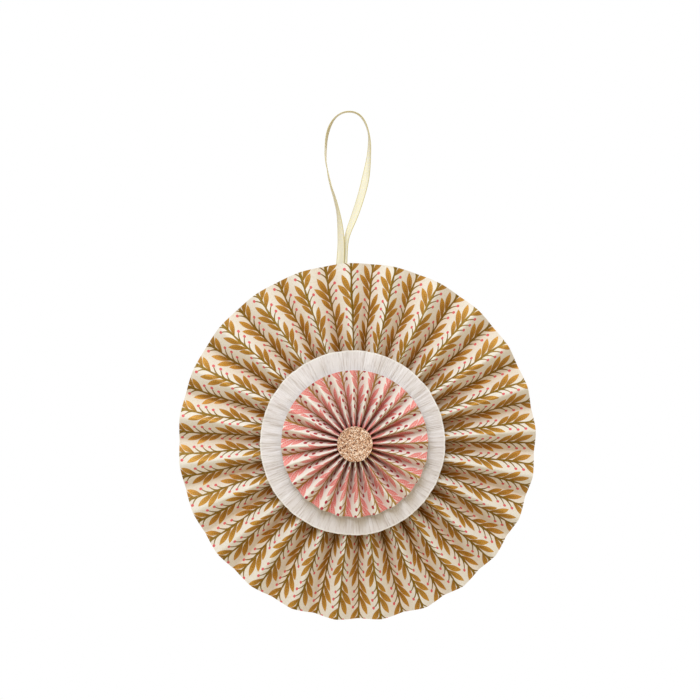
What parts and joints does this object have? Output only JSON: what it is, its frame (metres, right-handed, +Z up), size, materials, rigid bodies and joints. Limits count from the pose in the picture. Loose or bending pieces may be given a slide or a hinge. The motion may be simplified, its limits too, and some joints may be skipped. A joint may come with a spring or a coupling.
{
  "type": "paper fan rosette",
  "caption": "Round hanging rosette of pleated printed paper with a smaller pleated fan, a crepe ruffle and a glitter disc at its middle, on a ribbon loop.",
  "frame": {"origin": "centre of the rear face of the card disc at the back, on the axis of the large fan", "axes": "+Z up as the rosette hangs, -Y out of its front, +X to the right seen from the front"},
  "size_m": [0.2598, 0.0321, 0.3713],
  "materials": {
    "backing_card": "matt cream card",
    "leaf_paper": "matt cream paper printed with gold leaf sprays and coral berries",
    "crepe_paper": "off-white crepe with fine crinkles",
    "pink_leaf_paper": "matt cream paper printed with pink leaf sprays and crimson berries",
    "glitter_card": "rose gold glitter on card",
    "satin_ribbon": "pale cream satin"
  },
  "bodies": {
    "root": {"back_disc": "backing_card", "outer_strip_right": "leaf_paper", "outer_strip_left": "leaf_paper", "crepe_ruffle": "crepe_paper", "inner_strip": "pink_leaf_paper", "glitter_disc": "glitter_card", "ribbon_loop": "satin_ribbon"}
  },
  "joints": []
}
